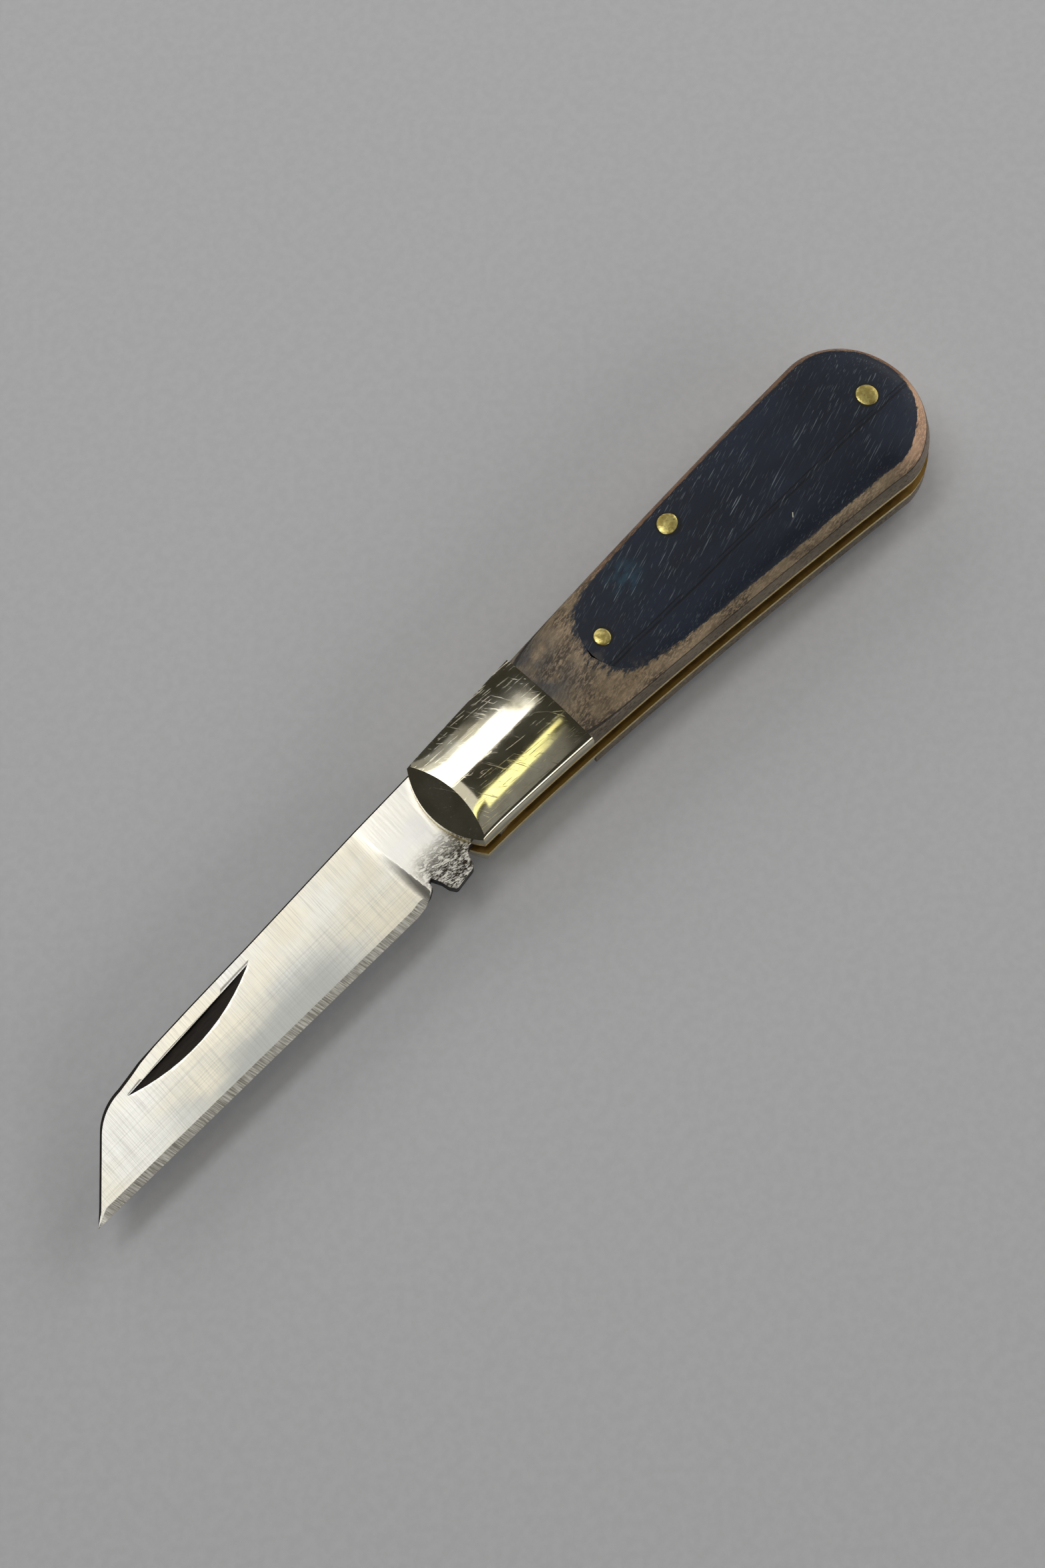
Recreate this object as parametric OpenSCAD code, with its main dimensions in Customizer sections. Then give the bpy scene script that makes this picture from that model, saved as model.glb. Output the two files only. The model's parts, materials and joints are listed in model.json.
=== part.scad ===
// Slip-joint folding pocket knife, modelled open.
// It lies on the flat crown of its pile-side scale. X runs from the blade tip (-X) to the butt (+X),
// Y from the blade well (-Y) to the back spring (+Y), Z from the pile side up to the mark side,
// which is the side with the nail nick. Shapes are drawn about the blade pivot, with z = 0 in the
// middle of the blade's thickness, and are then moved so that the origin is on the resting face.

/* [Handle] */
// Length from the pivot to the centre of the rounded butt
butt_centre_x = 69.9; // [60:0.5:80]
// Half length of the butt's ellipse, along the knife
butt_reach = 10.15; // [8:0.05:12]
// Half height of the butt's ellipse, across the knife
butt_half_height = 11.28; // [10:0.05:12.5]
// How far the butt's centre lies below the pivot
butt_drop = 0.79; // [0:0.05:2]
// Height of the handle's back above the pivot, at the bolster's front
back_height = 7.75; // [7:0.05:9]
// Depth of the handle's well edge below the pivot, at the bolster's front
well_depth = 5.9; // [5.5:0.05:7]
// How far the pile side's well edge stands out below the mark side's
pile_drop = 0.5; // [0:0.05:0.8]

/* [Blade] */
// Blade thickness at the ricasso
blade_t = 2.3; // [1.8:0.1:3]
// Distance from the pivot to the tip
tip_reach = 71; // [60:0.5:71]
// Half thickness of the blade just above its edge bevel
bevel_half_t = 0.3; // [0.2:0.05:0.5]
// Width of the sharpened edge bevel
bevel_w = 1.1; // [0.6:0.1:1.5]
// Depth of the nail nick
nick_depth = 0.55; // [0.3:0.05:0.7]
// Angle that the blade turns through to close
closing_angle = 172; // [168:1:174]

/* [Liners and scales] */
// Gap between the two liners, which is the width of the blade well
well_w = 2.4; // [2.4:0.1:3.2]
// Thickness of each brass liner
liner_t = 0.9; // [0.6:0.1:1.2]
// Thickness of the inner ply of each laminated scale
inner_ply_t = 2.2; // [1.5:0.1:2.5]
// Thickness of the middle ply
middle_ply_t = 1.3; // [1:0.1:1.5]
// Thickness of the outer ply at the crown
outer_ply_t = 1; // [0.8:0.1:1.4]

/* [Bolsters] */
// Distance from the pivot to the bolster's back edge
bolster_back_x = 14.6; // [12:0.1:17]
// Distance from the pivot to the middle of the bolster's bowed front
bolster_front_x = 6.8; // [6:0.1:8]
// Radius of the bowed front, seen from the side
bolster_front_r = 11.3; // [10:0.1:16]
// Height of the bolster's side wall above the liner
bolster_wall_h = 2; // [1.5:0.1:2.4]
// Rise of the bolster's dome above its side wall
dome_rise = 1; // [0.5:0.1:1.2]
// Slope of the flat facet across the bolster's front
facet_angle = 25.5; // [20:0.5:32]

/* [Back spring and pins] */
// Height of the spring's inner face above the pivot
spring_seat_y = 5.6; // [5.4:0.05:5.7]
// Lift that the rounded tang gives to the spring between open and closed
cam_lift = 0.3; // [0.1:0.05:0.5]
// Radius of the blade's pivot pin
pivot_r = 1.5; // [1.2:0.1:2]
// Radius of the spring pin and of the end pin
pin_r = 1.55; // [1.2:0.05:2]
// Radius of the small pins at the front of the scales
scale_pin_r = 1.2; // [0.8:0.1:1.5]

/* [Hidden] */

$fn = 64;
fit = 0.03;                 // radial running clearance of the tang on its pin
slack = 0.01;               // radial clearance of a pin driven through a handle part
reach = 200;                // longer than the whole knife
slice = 0.02;               // thickness of the layers that a crowned shape is stretched over

// Levels on one side of the knife, measured from the middle of the blade
liner_in = well_w / 2;
liner_out = liner_in + liner_t;
middle_ply_z = liner_out + inner_ply_t;
outer_ply_z = middle_ply_z + middle_ply_t;
crown_z = outer_ply_z + outer_ply_t;
bolster_wall_z = liner_out + bolster_wall_h;
dome_z = bolster_wall_z + dome_rise;

rivet_r = 0.8;
rivet_top_z = bolster_wall_z - 0.3;
pivot_top_z = bolster_wall_z;

// Places along and across the knife, from the pivot
spring_pin_at = [41.8, 5.95];
end_pin_at = [73, -0.5];
scale_pin_at = [24.9, 1.65];
rivets_at = [[8.8, 5.2], [8.8, -3.2]];
rest_at = [45, -0.8];
handle_mid_y = 1;

// ---- Handle outline -------------------------------------------------------------------------

butt_bottom_y = -butt_drop - butt_half_height;
butt_top_y = -butt_drop + butt_half_height;
front_centre_x = bolster_front_r - bolster_front_x;
corner_x = -4.5;
outline_steps = 24;

// Share of the way from the bolster's front corner to the butt's ellipse
function along(x) = (x - corner_x) / (butt_centre_x - corner_x);

// The well edge falls away slowly at first and then faster
function well_y(x) = -well_depth + (butt_bottom_y + well_depth) * pow(along(x), 1.5);

// The back rises and levels out before the butt
function back_y(x) =
    let (t = along(x)) back_height + (butt_top_y - back_height) * t * (1.4 - 0.4 * t * t);

function station(i) = corner_x + (butt_centre_x - corner_x) * i / outline_steps;

handle_points = concat(
    [for (i = [0:outline_steps]) [station(i), well_y(station(i))]],
    [for (a = [-84:6:84]) [
        butt_centre_x + butt_reach * cos(a),
        -butt_drop + butt_half_height * sin(a),
    ]],
    [for (i = [outline_steps:-1:0]) [station(i), back_y(station(i))]]
);

module handle_2d(drop = 0) {
    polygon(handle_points);
    intersection() {
        translate([front_centre_x, handle_mid_y]) circle(bolster_front_r);
        polygon([
            [corner_x, -well_depth], [corner_x, back_height],
            [-2 * bolster_front_x, back_height], [-2 * bolster_front_x, -well_depth],
        ]);
    }
    if (drop > 0) {
        translate([0, -drop]) handle_2d();
    }
}

// ---- Helpers --------------------------------------------------------------------------------

// Moves the knife from its pivot onto its resting face
module placed() {
    translate([-rest_at.x, -rest_at.y, crown_z]) children();
}

// Turns a mark-side shape into its pile-side twin
module pile_side() {
    mirror([0, 0, 1]) children();
}

module drill(at, r) {
    translate([at.x, at.y, -reach / 2]) cylinder(r = r, h = reach);
}

module handle_pin_holes() {
    drill(spring_pin_at, pin_r + slack);
    drill(end_pin_at, pin_r + slack);
}

// A pin with a slightly domed head
module domed_pin(at, r, from_z, to_z) {
    dome_r = 6 * r;
    translate([at.x, at.y, from_z]) cylinder(r = r, h = to_z - from_z);
    intersection() {
        translate([at.x, at.y, to_z - r]) cylinder(r = r, h = 2 * r);
        translate([at.x, at.y, to_z - sqrt(dome_r * dome_r - r * r)]) sphere(dome_r);
    }
}

// ---- Blade ----------------------------------------------------------------------------------

seat_gap = 0.02;            // gap between the spring and what bears on it
cam_r = spring_seat_y + cam_lift;
seat_r = spring_seat_y - seat_gap;
seat_angle = acos(seat_r / cam_r);
spring_front_x = -3.9;
heel_x = -16.7;
plunge_x = -13.4;
tip_y = -5.1;
heel_y = -6;
edge_tilt = atan((heel_y - tip_y) / (tip_reach + heel_x));
drop_r = 7.5;
drop_centre = [13.4 - tip_reach, -2.1];
drop_corner_x = 17.3 - tip_reach;
grind_h = 13;
grind_angle = atan((blade_t / 2 - bevel_half_t) / grind_h);

// Direction that faces the spring once the blade is closed, seen on the open blade
closed_seat = [sin(closing_angle), cos(closing_angle)];
closed_seat_angle = atan2(closed_seat.y, closed_seat.x);

// Y of the closed seat's line at x, which the kick's corner also lies on
function closed_seat_y(x) = (seat_r - closed_seat.x * x) / closed_seat.y;

kick_x = -10.7;

module blade_2d() {
    polygon(concat(
        // Spine, from the spring's end to the corner where the point drops away
        [[spring_front_x - seat_gap, back_y(spring_front_x)], [-14.8, 7.5], [-24.6, 7.1],
         [-34.5, 6.7], [-44.3, 6.4], [drop_corner_x, 6]],
        // Rounded drop that runs into a straight line to the tip
        [for (a = [95:5:135]) drop_centre + drop_r * [cos(a), sin(a)]],
        [[-tip_reach, tip_y]],
        // Edge, choil notch and kick
        [[heel_x, heel_y], [-15.2, -5.8], [-13.8, -5.3], [-12.8, -4.7],
         [-12.9, -3.9], [-12.2, -3.8], [-11.6, -5.1], [-11.4, -6.2],
         [kick_x, closed_seat_y(kick_x)], [-7.5, -6.6], [-7.1, -6.3], [-6.8, -5.3],
         [-6.3, -4.6], [-5.7, -4.3], [-2.6, -4.6], [-1.6, closed_seat_y(-1.6)]],
        // Rounded tang between the closed seat and the open seat
        [for (i = [0:20]) let (
            from = closed_seat_angle + seat_angle,
            to = 90 - seat_angle,
            a = from + (to - from) * i / 20
        ) cam_r * [cos(a), sin(a)]],
        // Open seat and the shoulder that meets the spring's end
        [[spring_front_x - seat_gap, seat_r]]
    ));
}

// Puts a shape on the mark-side ground face, at the height of the heel
module on_ground_face() {
    translate([0, heel_y, bevel_half_t]) rotate([grind_angle, 0, 0]) children();
}

// Half-space cutter for one face of the ground blade, from the plunge line to the tip
module face_grind() {
    on_ground_face()
        translate([plunge_x, 0, 0])
            rotate([0, 0, 2])
                translate([-reach, -reach / 2, 0]) cube([reach, reach, reach]);
}

// Half-space cutter for one side of the sharpened edge
module edge_grind() {
    edge_angle = atan(bevel_half_t / bevel_w);
    translate([heel_x, heel_y, 0])
        rotate([0, 0, edge_tilt])
            rotate([edge_angle, 0, 0])
                translate([-reach, -reach / 2, 0])
                    cube([reach + 3.6, reach, reach]);
}

// Half-moon nail nick: one flat wall near the spine, and a floor that rises to the face
module nail_nick() {
    half_l = 10.9;
    nick_h = 2.1;
    cutter_r = (half_l * half_l + nick_depth * nick_depth) / (2 * nick_depth);
    floor_angle = atan(nick_depth / nick_h);
    on_ground_face()
        translate([-46.6, 4.45 - heel_y, 0])
            rotate([0, 0, 3.1])
                rotate([90 - floor_angle, 0, 0])
                    translate([0, cutter_r - nick_depth, 0])
                        cylinder(r = cutter_r, h = 8, $fn = 180);
}

module blade() {
    placed() color("gainsboro") difference() {
        translate([0, 0, -blade_t / 2]) linear_extrude(blade_t) blade_2d();
        face_grind();
        pile_side() face_grind();
        edge_grind();
        pile_side() edge_grind();
        nail_nick();
        drill([0, 0], pivot_r + fit);
    }
}

// ---- Back spring ----------------------------------------------------------------------------

spring_pin_wall = 2.1;
end_pin_wall = 1.95;
spring_waist = [22, 34, 50, 58];    // where the spring grows thicker and thinner along the knife
waist_depth = 0.8;

// Room for the blade inside the handle, up to the spring's inner edge
module blade_room_2d() {
    inner_x = end_pin_at.x - pin_r - end_pin_wall;
    difference() {
        union() {
            polygon([
                [-reach, -reach], [-reach, spring_seat_y], [spring_waist[0], spring_seat_y],
                [spring_waist[1], spring_seat_y - waist_depth],
                [spring_waist[2], spring_seat_y - waist_depth],
                [spring_waist[3], spring_seat_y],
                [inner_x - 6, spring_seat_y], [inner_x - 2.5, spring_seat_y - 1],
                [inner_x - 0.6, spring_seat_y - 3.2], [inner_x, spring_seat_y - 6.1],
                [inner_x, end_pin_at.y - 3.6], [reach, end_pin_at.y - 6.5], [reach, -reach],
            ]);
            // Ahead of the spring's end
            translate([-reach + spring_front_x, -reach / 2]) square([reach, reach]);
        }
        translate(spring_pin_at) circle(pin_r + spring_pin_wall);
        translate(end_pin_at) circle(pin_r + end_pin_wall);
    }
}

module back_spring() {
    placed() color("silver") difference() {
        translate([0, 0, -blade_t / 2]) linear_extrude(blade_t) difference() {
            handle_2d();
            blade_room_2d();
        }
        handle_pin_holes();
    }
}

// ---- Liners and bolsters --------------------------------------------------------------------

module liner_solid(drop = 0) {
    difference() {
        translate([0, 0, liner_in]) linear_extrude(liner_t) handle_2d(drop);
        handle_pin_holes();
        drill([0, 0], pivot_r + slack);
        drill(scale_pin_at, scale_pin_r + slack);
        for (at = rivets_at) drill(at, rivet_r + slack);
    }
}

facet_top_x = -2.4;         // where the front facet starts to fall away from the dome

module bolster_solid(drop = 0) {
    half_h = (back_y(bolster_back_x) - well_y(bolster_back_x)) / 2;
    dome_r = (half_h * half_h + dome_rise * dome_rise) / (2 * dome_rise);
    difference() {
        intersection() {
            translate([0, 0, liner_out]) linear_extrude(dome_z - liner_out) intersection() {
                handle_2d(drop);
                translate([bolster_back_x - reach, -reach / 2]) square([reach, reach]);
            }
            // Dome across the knife
            translate([-reach / 2, handle_mid_y, dome_z - dome_r])
                rotate([0, 90, 0]) cylinder(r = dome_r, h = reach);
            // Sloping facet across the front
            translate([facet_top_x, -reach / 2, dome_z])
                rotate([0, -facet_angle, 0])
                    translate([-reach / 2, 0, -reach]) cube([reach, reach, reach]);
        }
        translate([0, 0, liner_in]) cylinder(r = pivot_r + slack, h = pivot_top_z - liner_in);
        for (at = rivets_at)
            translate([at.x, at.y, liner_in])
                cylinder(r = rivet_r + slack, h = rivet_top_z - liner_in);
    }
}

module mark_liner() {
    placed() color("goldenrod") liner_solid();
}

module pile_liner() {
    placed() color("goldenrod") pile_side() liner_solid(pile_drop);
}

module mark_bolster() {
    placed() color("lightgray") bolster_solid();
}

module pile_bolster() {
    placed() color("lightgray") pile_side() bolster_solid(pile_drop);
}

// ---- Laminated scales -----------------------------------------------------------------------

// Layers of a scale from the liner to the crown. Each is [z, inset from the outline, x where
// the full width begins, radius of its rounded front end].
mark_layers = [
    [liner_out, 0, bolster_back_x, 0],
    [bolster_wall_z, 0.45, bolster_back_x, 0],
    [outer_ply_z, 1.4, 34, 5.4],
    [crown_z - 0.3, 2.6, 40, 4.6],
    [crown_z, 4.2, 48, 3.4],
];
// The pile-side scale keeps an upright wall for longer, and its flat crown reaches forward past
// the balance point, so the knife lies level on it
pile_layers = [
    [liner_out, 0, bolster_back_x, 0],
    [bolster_wall_z, 0.05, bolster_back_x, 0],
    [outer_ply_z, 0.3, 34, 6],
    [crown_z - 0.3, 1.3, 40, 5.2],
    [crown_z, 3.2, 32, 4.2],
];

nose_reach = 12;            // how far a layer's rounded front runs ahead of its full width

module layer_2d(inset, from_x, front_r, drop) {
    intersection() {
        offset(delta = -inset) handle_2d(drop);
        translate([from_x, -reach / 2]) square([reach, reach]);
    }
    if (front_r > 0) {
        translate([from_x - nose_reach + front_r, handle_mid_y]) circle(front_r, $fn = 32);
    }
}

module scale_solid(layers, drop) {
    difference() {
        intersection() {
            translate([0, 0, liner_out]) linear_extrude(crown_z - liner_out) handle_2d(drop);
            hull() {
                for (l = layers)
                    translate([0, 0, l[0] - (l[0] > liner_out ? slice : 0)])
                        linear_extrude(slice) layer_2d(l[1], l[2], l[3], drop);
                // The crown starts level with the bolster's dome
                translate([bolster_back_x, handle_mid_y - 3, dome_z - slice])
                    cube([slice, 6, slice]);
            }
        }
        handle_pin_holes();
        drill(scale_pin_at, scale_pin_r + slack);
    }
}

module ply(from_z, to_z, layers = mark_layers, drop = 0) {
    intersection() {
        scale_solid(layers, drop);
        translate([-reach / 2, -reach / 2, from_z]) cube([reach, reach, to_z - from_z]);
    }
}

module mark_inner_ply() {
    placed() color("rosybrown") ply(liner_out, middle_ply_z);
}

module mark_middle_ply() {
    placed() color("burlywood") ply(middle_ply_z, outer_ply_z);
}

module mark_outer_ply() {
    placed() color("midnightblue") ply(outer_ply_z, crown_z);
}

module pile_inner_ply() {
    placed() color("rosybrown") pile_side() ply(liner_out, middle_ply_z, pile_layers, pile_drop);
}

module pile_middle_ply() {
    placed() color("burlywood") pile_side() ply(middle_ply_z, outer_ply_z, pile_layers, pile_drop);
}

module pile_outer_ply() {
    placed() color("midnightblue") pile_side() ply(outer_ply_z, crown_z, pile_layers, pile_drop);
}

// ---- Pins -----------------------------------------------------------------------------------

module pivot_pin() {
    placed() color("silver")
        translate([0, 0, -pivot_top_z]) cylinder(r = pivot_r, h = 2 * pivot_top_z);
}

module spring_pin() {
    placed() color("darkkhaki") domed_pin(spring_pin_at, pin_r, -crown_z, crown_z);
}

module end_pin() {
    placed() color("darkkhaki") domed_pin(end_pin_at, pin_r, -crown_z, crown_z);
}

scale_pin_top_z = crown_z - 0.35;

module mark_scale_pin() {
    placed() color("darkkhaki") domed_pin(scale_pin_at, scale_pin_r, liner_in, scale_pin_top_z);
}

module pile_scale_pin() {
    placed() color("darkkhaki")
        pile_side() domed_pin(scale_pin_at, scale_pin_r, liner_in, scale_pin_top_z);
}

module bolster_rivets() {
    for (at = rivets_at)
        translate([at.x, at.y, liner_in]) cylinder(r = rivet_r, h = rivet_top_z - liner_in);
}

module mark_bolster_rivets() {
    placed() color("silver") bolster_rivets();
}

module pile_bolster_rivets() {
    placed() color("silver") pile_side() bolster_rivets();
}

blade();
back_spring();
mark_liner();
pile_liner();
mark_bolster();
pile_bolster();
mark_inner_ply();
mark_middle_ply();
mark_outer_ply();
pile_inner_ply();
pile_middle_ply();
pile_outer_ply();
pivot_pin();
spring_pin();
end_pin();
mark_scale_pin();
pile_scale_pin();
mark_bolster_rivets();
pile_bolster_rivets();
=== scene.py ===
"""Look of the folding knife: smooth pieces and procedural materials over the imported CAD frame.

Shapes are written in millimetres about the blade pivot, as in the CAD source: u runs from the
blade tip to the butt, v from the blade well to the back, w from the middle of the blade up to the
mark side. place() turns them into the shared frame in metres.
"""
import json
import math

import bmesh
import bpy
from mathutils import Matrix, Vector


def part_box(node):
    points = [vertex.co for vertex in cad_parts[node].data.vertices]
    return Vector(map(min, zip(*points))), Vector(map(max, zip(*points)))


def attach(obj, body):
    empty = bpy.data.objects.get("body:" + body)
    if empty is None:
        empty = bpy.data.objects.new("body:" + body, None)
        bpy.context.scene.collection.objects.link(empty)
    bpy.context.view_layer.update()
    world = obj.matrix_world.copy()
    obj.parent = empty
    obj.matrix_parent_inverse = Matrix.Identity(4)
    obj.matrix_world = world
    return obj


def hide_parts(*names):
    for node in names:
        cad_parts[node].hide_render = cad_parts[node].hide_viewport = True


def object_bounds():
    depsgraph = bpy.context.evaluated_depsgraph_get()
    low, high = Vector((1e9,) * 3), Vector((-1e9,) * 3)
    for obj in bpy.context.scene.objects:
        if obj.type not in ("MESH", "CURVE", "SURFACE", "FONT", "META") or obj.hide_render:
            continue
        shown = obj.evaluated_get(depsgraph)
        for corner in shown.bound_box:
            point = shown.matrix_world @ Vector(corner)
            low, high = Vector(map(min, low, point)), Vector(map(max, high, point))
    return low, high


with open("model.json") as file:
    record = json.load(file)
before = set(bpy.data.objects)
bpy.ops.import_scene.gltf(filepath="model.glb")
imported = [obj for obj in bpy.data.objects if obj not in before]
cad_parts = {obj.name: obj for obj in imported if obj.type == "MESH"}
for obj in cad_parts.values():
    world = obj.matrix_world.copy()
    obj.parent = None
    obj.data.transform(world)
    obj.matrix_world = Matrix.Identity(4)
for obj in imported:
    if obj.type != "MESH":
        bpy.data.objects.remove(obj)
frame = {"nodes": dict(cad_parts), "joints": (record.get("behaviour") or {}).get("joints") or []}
cad_lo, cad_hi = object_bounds()

MM = 0.001
PIVOT = next(j for j in frame["joints"] if j["name"] == "blade_pivot")["pos_m"]


def place(u, v, w):
    """A point about the pivot, in millimetres, as a point of the shared frame in metres."""
    return Vector((PIVOT[0] + u * MM, PIVOT[1] + v * MM, PIVOT[2] + w * MM))


def x_at(u):
    return place(u, 0, 0).x


def y_at(v):
    return place(0, v, 0).y


def z_at(w):
    return place(0, 0, w).z


def level(node):
    """Height of a node's top above the middle of the blade, in millimetres."""
    return (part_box(node)[1][2] - PIVOT[2]) / MM


def lerp(a, b, t):
    return a + (b - a) * t


def clamp01(t):
    return max(0.0, min(1.0, t))


def smooth(t):
    t = clamp01(t)
    return t * t * (3 - 2 * t)


def table_y(points, x):
    """Straight-line interpolation in a list of (x, y) that runs towards +x."""
    if x <= points[0][0]:
        return points[0][1]
    for (x0, y0), (x1, y1) in zip(points, points[1:]):
        if x <= x1:
            return lerp(y0, y1, (x - x0) / (x1 - x0))
    return points[-1][1]


# ---- Levels taken from the frame -------------------------------------------------------------

LINER_OUT = level("mark_liner")
INNER_TOP = level("mark_inner_ply")
MIDDLE_TOP = level("mark_middle_ply")
CROWN = level("mark_outer_ply")
DOME = level("mark_bolster")
WALL_RISE = 2.0                                     # upright wall of bolsters and scales
WALL = LINER_OUT + WALL_RISE
BLADE_HALF = level("blade")

# ---- Handle outline --------------------------------------------------------------------------

CORNER_U = -4.5
BUTT = (69.9, -0.79)
BUTT_REACH = (10.15, 11.28)
BOLSTER_BACK = (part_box("mark_bolster")[1][0] - PIVOT[0]) / MM
FRONT_R = 11.3
FRONT_CENTRE = (4.5, 1.0)
WELL_DEPTH = 5.9
PILE_DROP = 0.5                                     # the pile side stands out this far at the well
BACK_HEIGHT = 7.75
WELL_BEND = 1.5
BACK_LIFT, BACK_EASE = 1.4, 0.4


def along(u):
    return clamp01((u - CORNER_U) / (BUTT[0] - CORNER_U))


def well_v(u):
    return -WELL_DEPTH + (BUTT[1] - BUTT_REACH[1] + WELL_DEPTH) * along(u) ** WELL_BEND


def back_v(u):
    t = along(u)
    lift = BUTT[1] + BUTT_REACH[1] - BACK_HEIGHT
    return BACK_HEIGHT + lift * t * (BACK_LIFT - BACK_EASE * t * t)


def mid_v(u):
    return (well_v(u) + back_v(u)) / 2


# ---- Mesh helpers ----------------------------------------------------------------------------

MERGE = 1e-7                                        # metres, under which two points are one


def finish_mesh(bm, name, sharp_angle=28.0):
    """Cleans a bmesh, shades it smooth with sharp edges kept, and makes its object."""
    bmesh.ops.remove_doubles(bm, verts=bm.verts, dist=MERGE)
    bmesh.ops.dissolve_degenerate(bm, edges=bm.edges, dist=MERGE)
    bmesh.ops.recalc_face_normals(bm, faces=bm.faces)
    limit = math.radians(sharp_angle)
    for face in bm.faces:
        face.smooth = True
    for edge in bm.edges:
        edge.smooth = len(edge.link_faces) == 2 and edge.calc_face_angle(0.0) < limit
    mesh = bpy.data.meshes.new(name)
    bm.to_mesh(mesh)
    bm.free()
    obj = bpy.data.objects.new(name, mesh)
    bpy.context.scene.collection.objects.link(obj)
    return obj


def skin(bm, columns, ring=False):
    """Quads between neighbouring columns of vertices."""
    pairs = list(zip(columns, columns[1:] + (columns[:1] if ring else [])))
    for a, b in pairs[: len(columns) if ring else len(columns) - 1]:
        for i in range(len(a) - 1):
            corners = []
            for vert in (a[i], b[i], b[i + 1], a[i + 1]):
                if vert not in corners:
                    corners.append(vert)
            if len(corners) > 2:
                bm.faces.new(corners)


def cap(bm, verts):
    """One face over a loop of vertices, without its repeated points."""
    clean = []
    for vert in verts:
        if not clean or (vert.co - clean[-1].co).length > 1e-8:
            clean.append(vert)
    if (clean[0].co - clean[-1].co).length < 1e-8:
        clean.pop()
    if len(clean) > 2:
        bm.faces.new(clean)


def lathe(bm, centre, profile, steps=40):
    """Solid of revolution about w. Its profile is (radius, w) from one pole to the other."""
    columns = []
    for i in range(steps):
        a = 2 * math.pi * i / steps
        columns.append([
            bm.verts.new(place(centre[0] + r * math.cos(a), centre[1] + r * math.sin(a), w))
            for r, w in profile
        ])
    skin(bm, columns, ring=True)


def bevel(obj, width, angle):
    """Rounds the edges that are sharper than the angle, in millimetres and degrees."""
    mod = obj.modifiers.new("Rounded edges", "BEVEL")
    mod.width = width * MM
    mod.segments = 3
    mod.limit_method = "ANGLE"
    mod.angle_limit = math.radians(angle)
    mod.harden_normals = False


# ---- Node helpers ----------------------------------------------------------------------------


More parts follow.
